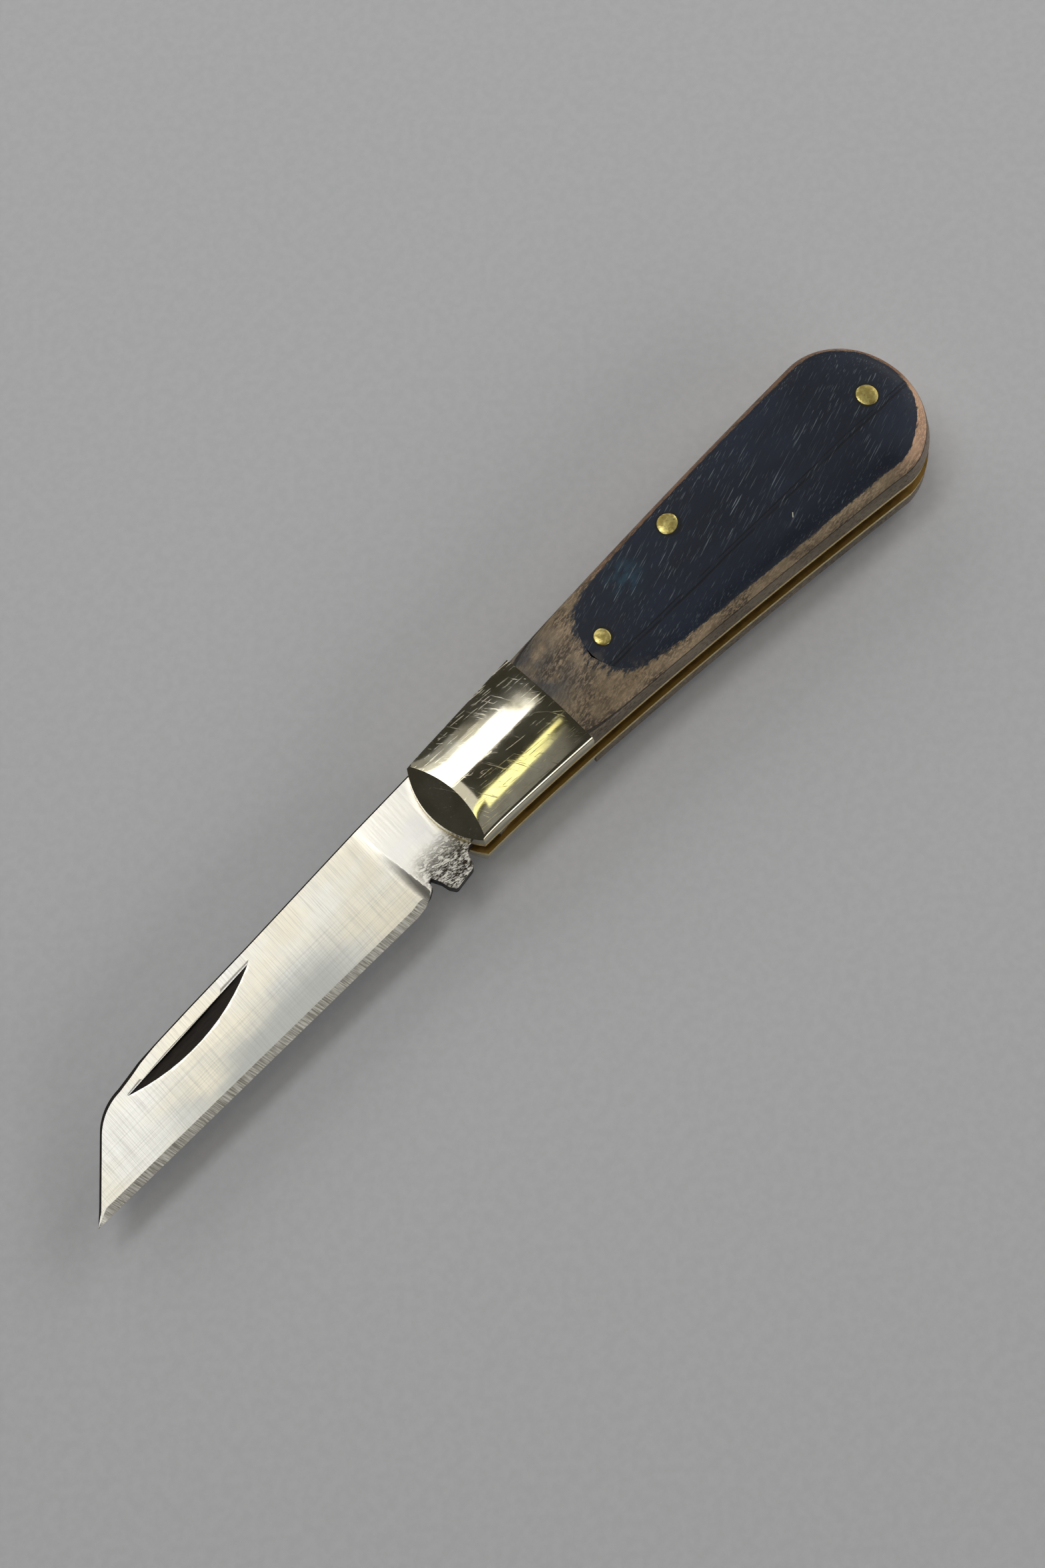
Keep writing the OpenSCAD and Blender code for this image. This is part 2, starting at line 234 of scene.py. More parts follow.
class Paint:
    """A material with short calls for its nodes. Coordinates are the part's own, in metres."""

    def __init__(self, name):
        self.mat = bpy.data.materials.new(name)
        self.mat.use_nodes = True
        self.tree = self.mat.node_tree
        self.bsdf = self.tree.nodes["Principled BSDF"]
        self.coords = self.tree.nodes.new("ShaderNodeTexCoord").outputs["Object"]

    def node(self, kind, **inputs):
        made = self.tree.nodes.new(kind)
        for key, value in inputs.items():
            self.put(made.inputs[key.replace("_", " ")], value)
        return made

    def put(self, socket, value):
        if isinstance(value, bpy.types.NodeSocket):
            self.tree.links.new(value, socket)
        else:
            socket.default_value = value

    def space(self, scale=(1, 1, 1), turn=(0, 0, 0), shift=(0, 0, 0)):
        """The part's coordinates, first turned and then scaled."""
        turned = self.node("ShaderNodeMapping", Vector=self.coords)
        turned.inputs["Rotation"].default_value = [math.radians(a) for a in turn]
        scaled = self.node("ShaderNodeMapping", Vector=turned.outputs[0])
        scaled.inputs["Scale"].default_value = scale
        scaled.inputs["Location"].default_value = shift
        return scaled.outputs[0]

    def noise(self, scale, detail=4, rough=0.55, turn=(0, 0, 0), shift=(0, 0, 0), distort=0.0):
        """Noise with a scale for each axis, in cells per millimetre."""
        at = self.space([s / MM for s in scale], turn, shift)
        made = self.node("ShaderNodeTexNoise", Vector=at, Scale=1.0)
        made.inputs["Detail"].default_value = detail
        made.inputs["Roughness"].default_value = rough
        made.inputs["Distortion"].default_value = distort
        return made.outputs[0]

    def ramp(self, value, low, high, out_low=0.0, out_high=1.0, soft=True):
        made = self.node("ShaderNodeMapRange", Value=value)
        if soft:
            made.interpolation_type = "SMOOTHSTEP"
        made.inputs["From Min"].default_value = low
        made.inputs["From Max"].default_value = high
        made.inputs["To Min"].default_value = out_low
        made.inputs["To Max"].default_value = out_high
        return made.outputs[0]

    def math(self, op, a, b=0.0):
        made = self.tree.nodes.new("ShaderNodeMath")
        made.operation = op
        self.put(made.inputs[0], a)
        self.put(made.inputs[1], b)
        return made.outputs[0]

    def times(self, a, b):
        return self.math("MULTIPLY", a, b)

    def plus(self, a, b):
        return self.math("ADD", a, b)

    def minus(self, a, b):
        return self.math("SUBTRACT", a, b)

    def mix(self, share, a, b):
        made = self.tree.nodes.new("ShaderNodeMix")
        made.data_type = "RGBA"
        self.put(made.inputs[0], share)
        for socket, colour in ((made.inputs[6], a), (made.inputs[7], b)):
            self.put(socket, colour)
        return made.outputs[2]

    def axes(self):
        return self.node("ShaderNodeSeparateXYZ", Vector=self.coords).outputs

    def distance(self, u, v):
        """Distance from the line along w through (u, v), in millimetres."""
        x, y, _ = self.axes()
        at = place(u, v, 0)
        dx = self.minus(x, at.x)
        dy = self.minus(y, at.y)
        total = self.plus(self.times(dx, dx), self.times(dy, dy))
        return self.times(self.math("SQRT", total), 1 / MM)

    def stroke(self, u, v, turn, half_length, half_width):
        """Mask of one short straight scratch centred at (u, v)."""
        x, y, _ = self.axes()
        at = place(u, v, 0)
        dx = self.times(self.minus(x, at.x), 1 / MM)
        dy = self.times(self.minus(y, at.y), 1 / MM)
        c, s = math.cos(math.radians(turn)), math.sin(math.radians(turn))
        along = self.plus(self.times(dx, c), self.times(dy, s))
        aside = self.minus(self.times(dy, c), self.times(dx, s))
        along, aside = self.math("ABSOLUTE", along), self.math("ABSOLUTE", aside)
        long_mask = self.ramp(along, half_length * 0.7, half_length, 1.0, 0.0)
        wide_mask = self.ramp(aside, half_width * 0.5, half_width, 1.0, 0.0)
        return self.times(long_mask, wide_mask)

    def bump(self, height, depth, strength=1.0, normal=None):
        """Bump whose full height is depth, in millimetres."""
        made = self.node("ShaderNodeBump", Height=height, Strength=strength)
        made.inputs["Distance"].default_value = depth * MM
        if normal is not None:
            self.put(made.inputs["Normal"], normal)
        return made.outputs[0]

    def set(self, **inputs):
        for key, value in inputs.items():
            self.put(self.bsdf.inputs[key.replace("_", " ")], value)
        return self.mat


def rgb(r, g, b):
    """A screen colour (0-255) as a linear RGBA value."""
    linear = [((c / 255 + 0.055) / 1.055) ** 2.4 if c > 10 else c / 3295 for c in (r, g, b)]
    return tuple(linear) + (1.0,)


def xs(span):
    return [x_at(u) for u in span]


def ys(span):
    return [y_at(v) for v in span]


# ---- Materials -------------------------------------------------------------------------------


# Parts of the blade where its finish changes, as u or v
STAIN_FRONT_U, STAIN_REAR_U, STAIN_V = (-62, -46), (-18, -32), (3.0, -3.0)
GRINDING_U = (-13.6, -14.6)
LOW_LINES_V = (4, 0)
KICK_U, KICK_V = (-14.2, -11.5), (0.5, -4.5)


def steel_blade():
    """Satin ground steel: fine lines across the blade, fainter ones along it, and stains."""
    p = Paint("Satin blade steel")
    across = p.noise((6.5, 0.12, 0.12), detail=4, rough=0.75, turn=(0, 0, 3))
    lengthwise = p.noise((0.06, 6.5, 6.5), detail=4, rough=0.75)
    cloud = p.noise((0.07, 0.16, 0.16), detail=3)
    x, y, _ = p.axes()
    low_part = p.ramp(y, *ys(STAIN_V))
    middle = p.times(p.ramp(x, *xs(STAIN_FRONT_U)), p.ramp(x, *xs(STAIN_REAR_U)))
    stain = p.times(p.times(low_part, middle), p.ramp(cloud, 0.25, 0.6))
    colour = p.mix(p.ramp(cloud, 0.35, 0.7), rgb(240, 234, 220), rgb(246, 245, 242))
    ground = p.ramp(x, *xs(GRINDING_U), 0.12, 1.0)
    grinding = p.times(p.ramp(across, 0.42, 0.66, 0.0, 0.42), ground)
    colour = p.mix(grinding, colour, rgb(190, 187, 180))
    low_lines = p.times(p.ramp(lengthwise, 0.46, 0.66), p.ramp(y, *ys(LOW_LINES_V)))
    low_lines = p.times(low_lines, ground)
    colour = p.mix(p.ramp(ground, 0.12, 1.0, 0.5, 0.0), colour, rgb(206, 205, 202))
    colour = p.mix(p.times(low_lines, 0.28), colour, rgb(150, 148, 144))
    colour = p.mix(p.times(stain, 0.8), colour, rgb(170, 172, 172))
    streaks = p.noise((1.8, 5.5, 5.5), detail=6, rough=0.8, turn=(0, 0, 12), distort=0.6)
    blots = p.noise((0.9, 0.9, 0.9), detail=5)
    near_kick = p.times(p.ramp(x, *xs(KICK_U)), p.ramp(y, *ys(KICK_V)))
    wear = p.times(near_kick, p.ramp(p.plus(streaks, p.times(blots, 0.35)), 0.64, 0.74))
    colour = p.mix(p.times(near_kick, 0.45), colour, rgb(150, 148, 140))
    colour = p.mix(wear, colour, rgb(46, 38, 28))
    rough = p.plus(p.ramp(across, 0.3, 0.7, 0.34, 0.46), p.ramp(cloud, 0.3, 0.7, -0.03, 0.04))
    lines = p.plus(p.times(across, 0.8), p.times(lengthwise, 0.12))
    normal = p.bump(p.times(lines, ground), 0.006)
    normal = p.bump(wear, -0.02, normal=normal)
    return p.set(Base_Color=colour, Metallic=1.0, Roughness=rough, Normal=normal)


def steel_edge():
    """Sharpened bevel: coarse marks across the edge."""
    p = Paint("Sharpened edge steel")
    marks = p.noise((6.0, 0.3, 0.3), detail=5, rough=0.7, turn=(0, 0, -14))
    colour = p.mix(p.ramp(marks, 0.36, 0.64), rgb(158, 153, 141), rgb(238, 235, 226))
    rough = p.ramp(marks, 0.3, 0.7, 0.40, 0.5)
    return p.set(Base_Color=colour, Metallic=0.7, Roughness=rough, Normal=p.bump(marks, 0.010))


def steel_painted_dark():
    """Unpolished steel of the spine and the nail nick, painted near black: painted shade in the
    nick's hollow and a painted dark reflection along the spine.
    """
    p = Paint("Steel with painted shade")
    grain = p.noise((0.6, 2.5, 2.5), detail=5)
    # The near-black colour is painted shade and painted reflection, not the steel's own tone
    colour = p.mix(p.ramp(grain, 0.35, 0.65), rgb(16, 12, 10), rgb(40, 34, 28))
    return p.set(Base_Color=colour, Metallic=0.8, Roughness=p.ramp(grain, 0.3, 0.7, 0.38, 0.6),
                 Normal=p.bump(grain, 0.01))


def steel_spring():
    """Back spring: lines along the back and light tarnish."""
    p = Paint("Satin spring steel")
    lines = p.noise((0.05, 6, 6), detail=5)
    cloud = p.noise((0.2, 0.4, 0.4), detail=4)
    colour = p.mix(p.ramp(cloud, 0.35, 0.68), rgb(150, 146, 136), rgb(202, 199, 190))
    rough = p.ramp(lines, 0.3, 0.7, 0.28, 0.42)
    return p.set(Base_Color=colour, Metallic=1.0, Roughness=rough, Normal=p.bump(lines, 0.006))


def nickel_silver():
    """Polished bolster metal with fine scratches and a faint warm tarnish."""
    p = Paint("Polished nickel silver")
    fine = p.noise((0.20, 6, 6), detail=3, turn=(0, 0, 6))
    crossing = p.noise((4, 0.22, 0.22), detail=3, turn=(0, 0, -28))
    swirl = p.noise((0.22, 5, 5), detail=3, turn=(0, 0, 40), shift=(5, 1, 3), distort=0.6)
    cloud = p.noise((0.25, 0.25, 0.25), detail=4)
    colour = p.mix(p.ramp(cloud, 0.35, 0.7), rgb(206, 198, 172), rgb(226, 221, 200))
    scratch = p.math("MAXIMUM", p.ramp(fine, 0.62, 0.70), p.ramp(crossing, 0.65, 0.73))
    scratch = p.math("MAXIMUM", scratch, p.ramp(swirl, 0.66, 0.74))
    rough = p.plus(p.ramp(cloud, 0.3, 0.7, 0.05, 0.085), p.times(scratch, 0.14))
    normal = p.bump(scratch, -0.0016)
    return p.set(Base_Color=colour, Metallic=1.0, Roughness=rough, Normal=normal)


def brass(name, light, deep, rough_low=0.25, rough_high=0.45, pitting=0.6, painted_face_shade=None):
    """Brass with lengthwise lines, mottled tarnish and darker pits, and, if a colour is given, flat
    faces in that darker colour as painted shade.
    """
    p = Paint(name)
    cloud = p.noise((1.1, 1.1, 1.1), detail=5, rough=0.6)
    lines = p.noise((0.3, 5, 5), detail=4)
    pits = p.noise((3.5, 3.5, 3.5), detail=3, rough=0.7)
    colour = p.mix(p.ramp(cloud, 0.38, 0.64), deep, light)
    colour = p.mix(p.ramp(pits, 0.58, 0.7, 0.0, pitting), colour, rgb(58, 46, 24))
    # Faces that look along w take the darker colour: painted shade, as deep inside the well slot
    if painted_face_shade is not None:
        facing = p.node("ShaderNodeSeparateXYZ", Vector=p.coords.node.outputs["Normal"]).outputs[2]
        colour = p.mix(p.ramp(p.math("ABSOLUTE", facing), 0.6, 0.9), colour, painted_face_shade)
    rough = p.ramp(cloud, 0.3, 0.7, rough_high, rough_low)
    normal = p.bump(lines, 0.004)
    normal = p.bump(pits, 0.008, normal=normal)
    return p.set(Base_Color=colour, Metallic=1.0, Roughness=rough, Normal=normal)


# Each pin's u, v and radius
PINS = {
    "spring_pin": (41.8, 5.95, 1.55),
    "end_pin": (73, -0.5, 1.55),
    "mark_scale_pin": (24.9, 1.65, 1.2),
}


SEAM_FADE = 1.6                                     # a seam is gone this many half widths away


def seam_lines(p, colour, z, seams):
    """Dark lines at the glue seams: levels w, each with its half width in millimetres."""
    for w, half in seams:
        for side in (1, -1):
            away = p.math("ABSOLUTE", p.minus(z, z_at(side * w)))
            dark = p.ramp(away, half * MM, half * SEAM_FADE * MM, 0.85, 0.0)
            colour = p.mix(dark, colour, rgb(26, 19, 14))
    return colour


def pin_rings(p, colour):
    """Dark line where the wood meets each pin."""
    for u, v, r in PINS.values():
        ring = p.ramp(p.distance(u, v), r + 0.06, r + 0.34, 0.92, 0.0)
        colour = p.mix(ring, colour, rgb(12, 10, 9))
    return colour


TEAL_AT = (32.5, 5.2)
CRACK_AT, CRACK_SLOPE = (26.6, -2.2), 0.018
CRACKS = ((0.0, 0.08, 0.10), (0.55, 0.05, 0.16))    # v offset, half width, cells of its breaks
SCRATCH = (53.8, -4.8, 45, 0.40, 0.07)              # u, v, turn, half length, half width
PORES_V = (-6, 4)
WORN_W, WORN_U = (5.75, 5.6), (60, 76)


def navy_wood():
    """Navy dyed outer ply: pale short pores, a teal patch and two hairline cracks."""
    p = Paint("Navy dyed wood")
    x, y, z = p.axes()
    cloud = p.noise((0.06, 0.14, 0.14), detail=4)
    fibre = p.noise((0.25, 4.5, 4.5), detail=4, rough=0.6, turn=(0, 0, -9))
    dashes = p.noise((0.22, 6.5, 6.5), detail=1, rough=0.5, turn=(0, 0, -16), shift=(3, 7, 1))
    fine = p.noise((0.4, 11, 11), detail=1, rough=0.5, turn=(0, 0, -18), shift=(1, 2, 9))
    patchy = p.ramp(p.noise((0.10, 0.22, 0.22), detail=3, shift=(4, 4, 4)), 0.36, 0.62, 0.25, 1.0)
    upper = p.ramp(y, *ys(PORES_V), 0.45, 1.0)
    pore = p.math("MAXIMUM", p.ramp(dashes, 0.66, 0.73), p.ramp(fine, 0.66, 0.74, 0.0, 0.9))
    pore = p.times(p.times(pore, patchy), upper)
    colour = p.mix(p.ramp(cloud, 0.35, 0.7), rgb(15, 22, 35), rgb(24, 32, 48))
    colour = p.mix(p.ramp(fibre, 0.5, 0.7, 0.0, 0.5), colour, rgb(12, 15, 24))
    teal = p.times(p.ramp(p.distance(*TEAL_AT), 0.4, 3.6, 0.75, 0.0),
                   p.ramp(p.noise((0.4, 0.9, 0.9), detail=4, shift=(2, 8, 5)), 0.38, 0.62))
    colour = p.mix(teal, colour, rgb(34, 66, 82))
    colour = p.mix(p.times(pore, 0.85), colour, rgb(118, 128, 134))
    height = p.minus(p.times(fibre, 0.4), p.times(pore, 0.6))
    wander = p.times(p.minus(p.noise((0.06, 0.06, 0.06), detail=4), 0.5), 0.9)
    slope = p.times(p.minus(x, x_at(CRACK_AT[0])), CRACK_SLOPE)
    across = p.times(p.plus(p.minus(y, y_at(CRACK_AT[1])), slope), 1 / MM)
    line_at = p.plus(across, wander)
    for centre, half, cells in CRACKS:
        broken = p.ramp(p.noise((cells, cells, cells), detail=4, shift=(9, 2, centre)), 0.30, 0.44)
        away = p.math("ABSOLUTE", p.minus(line_at, centre))
        crack = p.times(p.ramp(away, half, half * 2.6, 1.0, 0.0), broken)
        colour = p.mix(p.times(crack, 0.9), colour, rgb(5, 6, 9))
        height = p.minus(height, p.times(crack, 1.5))
    colour = p.mix(p.stroke(*SCRATCH), colour, rgb(206, 204, 186))
    worn = p.times(p.ramp(z, z_at(WORN_W[0]), z_at(WORN_W[1])),
                   p.ramp(p.noise((0.5, 0.5, 0.5), detail=5), 0.52, 0.66))
    worn = p.times(worn, p.ramp(x, *xs(WORN_U), 0.15, 1.0))
    colour = p.mix(p.times(worn, 0.8), colour, rgb(140, 124, 100))
    colour = pin_rings(p, colour)
    rough = p.plus(p.ramp(cloud, 0.3, 0.7, 0.46, 0.58), p.times(pore, 0.1))
    return p.set(Base_Color=colour, Roughness=rough, Normal=p.bump(height, 0.02),
                 Specular_IOR_Level=0.25)


# Parts of the flecked plies where their colour changes, as u or v
PALE_U, PALE_V = (66, 75), (3, -3)
END_GRAIN_U, END_GRAIN_V = (73, 79), (-5, -1)
BACK_EDGE_U, BACK_EDGE_V = (24, 34), (6.5, 9)
SMUDGE_U, SMUDGE_V = (23, 16), (-3, 2)


def flecked_wood(name, base, light, fleck, butt, seams, fleck_low, grey=0.0, bleed=0.0):
    """Dyed ply whose cut face shows dense short dark flecks. The butt end is lighter.

    grey is the strength of the smudge beside the bolster, and bleed the height in millimetres
    over which the navy dye runs into the ply's top.
    """
    p = Paint(name)
    x, y, z = p.axes()
    cloud = p.noise((0.12, 0.3, 0.3), detail=4)
    dashes = p.noise((1.1, 4.2, 5.0), detail=3, rough=0.6, turn=(0, 0, -12), distort=0.35)
    specks = p.noise((2.4, 5.5, 5.5), detail=3, rough=0.6, shift=(7, 1, 2), distort=0.5)
    patchy = p.ramp(p.noise((0.22, 0.35, 0.35), detail=3, shift=(1, 6, 2)), 0.35, 0.65, 0.35, 1.0)
    fleck_mask = p.math("MAXIMUM",
                        p.ramp(dashes, fleck_low, fleck_low + 0.10),
                        p.ramp(specks, fleck_low + 0.06, fleck_low + 0.15, 0.0, 0.7))
    fleck_mask = p.times(fleck_mask, patchy)
    colour = p.mix(p.ramp(cloud, 0.34, 0.68), base, light)
    pale = p.times(p.ramp(x, *xs(PALE_U)), p.ramp(y, *ys(PALE_V), 0.25, 1.0))
    colour = p.mix(pale, colour, butt)
    end_grain = p.times(p.ramp(x, *xs(END_GRAIN_U)), p.ramp(y, *ys(END_GRAIN_V)))
    colour = p.mix(end_grain, colour, rgb(142, 98, 62))
    edge = p.times(p.ramp(y, *ys(BACK_EDGE_V)), p.ramp(x, *xs(BACK_EDGE_U), 0.0, 0.75))
    colour = p.mix(edge, colour, rgb(122, 80, 50))
    if grey:
        patches = p.noise((0.16, 0.2, 0.2), detail=4, shift=(2, 2, 8))
        smudge = p.times(p.ramp(x, *xs(SMUDGE_U)), p.ramp(patches, 0.30, 0.52))
        high = p.ramp(y, *ys(SMUDGE_V), 0.25, 1.0)
        colour = p.mix(p.times(p.times(smudge, high), grey), colour, rgb(74, 73, 71))
    fleck_share = p.times(fleck_mask, p.ramp(pale, 0.0, 1.0, 0.85, 0.5))
    colour = p.mix(fleck_share, colour, fleck)
    if bleed:
        height = p.times(p.math("ABSOLUTE", p.minus(z, z_at(0))), 1 / MM)
        ragged = p.noise((0.9, 2.6, 2.6), detail=4, rough=0.65, turn=(0, 0, -14), shift=(6, 3, 3))
        reach = p.plus(height, p.times(p.minus(ragged, 0.5), bleed))
        colour = p.mix(p.ramp(reach, MIDDLE_TOP - 0.10, MIDDLE_TOP + 0.02), colour, rgb(26, 32, 42))
    colour = pin_rings(p, seam_lines(p, colour, z, seams))
    rough = p.ramp(dashes, 0.35, 0.65, 0.42, 0.62)
    return p.set(Base_Color=colour, Roughness=rough, Normal=p.bump(fleck_mask, -0.02),
                 Specular_IOR_Level=0.35)


def floor_paint():
    """Matt pale card."""
    p = Paint("Pale card")
    tooth = p.noise((0.8, 0.8, 0.8), detail=5)
    colour = p.mix(p.ramp(tooth, 0.3, 0.7), rgb(179, 179, 181), rgb(184, 184, 186))
    return p.set(Base_Color=colour, Roughness=0.9, Normal=p.bump(tooth, 0.004))


BLADE_STEEL = steel_blade()
EDGE_STEEL = steel_edge()
PAINTED_DARK_STEEL = steel_painted_dark()
SPRING_STEEL = steel_spring()
NICKEL = nickel_silver()
# The liners' flat faces get a darker brass as painted shade inside the well slot
LINER_BRASS = brass("Liner brass", rgb(252, 240, 192), rgb(226, 200, 138), 0.34, 0.46, pitting=0.3,
                    painted_face_shade=rgb(152, 120, 64))
PIN_BRASS = brass("Pin brass", rgb(226, 210, 134), rgb(150, 134, 78), 0.28, 0.46)
OUTER_WOOD = navy_wood()
MIDDLE_WOOD = flecked_wood("Tan dyed wood", rgb(126, 108, 82), rgb(166, 144, 114), rgb(44, 35, 28),
                           rgb(206, 166, 134), ((INNER_TOP, 0.05),), 0.44, grey=0.95, bleed=0.6)
INNER_WOOD = flecked_wood("Grey_brown dyed wood", rgb(98, 88, 74), rgb(122, 110, 94),
                          rgb(58, 48, 38), rgb(120, 108, 96),
                          ((LINER_OUT, 0.06), (INNER_TOP, 0.05)), 0.50)


def dress(obj, slot, body, nodes, *materials):
    """Gives a piece its materials and its body, and hides the CAD nodes that it stands for. slot is
    not used.
    """
    for material in materials:
        obj.data.materials.append(material)
    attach(obj, body)
    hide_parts(*nodes)


# ---- Blade -----------------------------------------------------------------------------------

TIP = (-71.0, -5.1)
HEEL = (-16.7, -6.0)
EDGE_HALF = 0.3
STOCK_HALF, GRIND_HEIGHT = 1.15, 13.0
GRIND_TAN = (STOCK_HALF - EDGE_HALF) / GRIND_HEIGHT
EDGE_W = 1.1
PLUNGE_U = -13.4
SPRING_FRONT = -3.92
DROP_CENTRE = (-57.6, -2.1)
DROP_R = 7.5
DROP_TURN = range(135, 90, -4)                      # degrees round the point's drop
RICASSO_U, RICASSO_LENGTH, RICASSO_RIM = -15.4, 2.0, 0.12
ROUND_U, ROUND_LENGTH = -56.0, 6.0                  # where the spine's rounding grows to the drop's
SPINE_ROUND, DROP_ROUND = 0.22, 0.5
EDGE_MATERIAL_U = -14.2

# Tang: the seat meets the spring when the knife is open or closed, the cam lifts it between
SEAT_R, CAM_R = 5.58, 5.9
SWING = math.radians(172)
TANG_V = -4.46
CAM_STEPS = 40

# Nail nick: one straight wall near the spine, and a floor that rises to the face
NICK_DEPTH, NICK_HALF_LENGTH, NICK_HEIGHT = 0.55, 10.9, 2.1
NICK_AT, NICK_TURN = (-46.6, 4.45), 3.1

SPINE = [TIP]
for turn in DROP_TURN:
    rad = math.radians(turn)
    SPINE.append((DROP_CENTRE[0] + DROP_R * math.cos(rad), DROP_CENTRE[1] + DROP_R * math.sin(rad)))
SPINE += [(-53.7, 6.0), (-44.3, 6.4), (-34.5, 6.7), (-24.6, 7.1), (-14.8, 7.5)]
SPINE += [(SPRING_FRONT, back_v(SPRING_FRONT))]

BELLY = [
    TIP, HEEL, (-15.2, -5.8), (-13.8, -5.3), (-12.84, -4.7), (-12.76, -3.95), (-12.2, -3.8),
    (-11.6, -5.1), (-11.4, -6.2), (-10.9, -7.0), (-10.6, -7.1), (-7.7, -6.72), (-7.4, -6.6),
    (-7.1, -6.3), (-6.8, -5.3), (-6.3, -4.6), (-5.7, -4.3), (SPRING_FRONT, TANG_V),
]


def blade_half(u, v):
    """Half thickness of the blade: flat ground ahead of a soft plunge, full thickness behind."""
    ground = min(BLADE_HALF, EDGE_HALF + (v - HEEL[1]) * GRIND_TAN)
    plunge = PLUNGE_U - (v - HEEL[1]) * 0.09
    t = clamp01((plunge + 0.15 - u) / 1.7)
    return lerp(BLADE_HALF, ground, lerp(smooth(t), 1 - (1 - t) ** 2, 0.75))


def blade_stations():
    """Places along the blade, closer where the outline or the thickness turns."""
    spans = [(TIP[0], -62.0, 60), (-62.0, -53.0, 50), (-53.0, -17.5, 70), (-17.5, -12.9, 46)]
    out = []
    for lo, hi, n in spans:
        out += [lerp(lo, hi, i / n) for i in range(n)]
    out += [-12.84, -12.76, -12.5, -12.2, -11.9, -11.6, -11.5, -11.4, -11.2, -11.0, -10.9]
    out += [-10.75, -10.6, -10.0, -9.0, -8.2, -7.7, -7.55, -7.4, -7.25, -7.1, -6.95, -6.8]
    return out + [-6.55, -6.3, -6.0, -5.7, SPRING_FRONT]


FACE_ROWS = 22


def blade_section(u):
    """The mark face of one station as (v, w), from the edge to the middle of the spine."""
    low, high = table_y(BELLY, u), table_y(SPINE, u)
    if u <= TIP[0] + 1e-6:
        high = low + 0.05
    tall = high - low
    dull = smooth((u - RICASSO_U) / RICASSO_LENGTH)  # 0 on the sharpened edge, 1 on the ricasso
    rim_v = min(lerp(EDGE_W, RICASSO_RIM, dull), tall * 0.45)
    drop = 1 - smooth((u - ROUND_U) / ROUND_LENGTH)
    spine_round = min(lerp(SPINE_ROUND, DROP_ROUND, drop), tall * 0.3)
    rim_half = blade_half(u, low + rim_v)
    rows = [(low, lerp(0.015, rim_half - 0.1, dull)), (low + rim_v, rim_half)]
    for i in range(1, FACE_ROWS):
        v = lerp(low + rim_v, high - spine_round, i / (FACE_ROWS - 1))
        rows.append((v, blade_half(u, v)))
    top_half = blade_half(u, high)
    for share in (0.45, 0.8, 1.0):
        fall = 1 - math.sqrt(max(0.0, 1 - share * share))
        rows.append((high - spine_round * (1 - share), max(0.02, top_half - spine_round * fall)))
    return rows


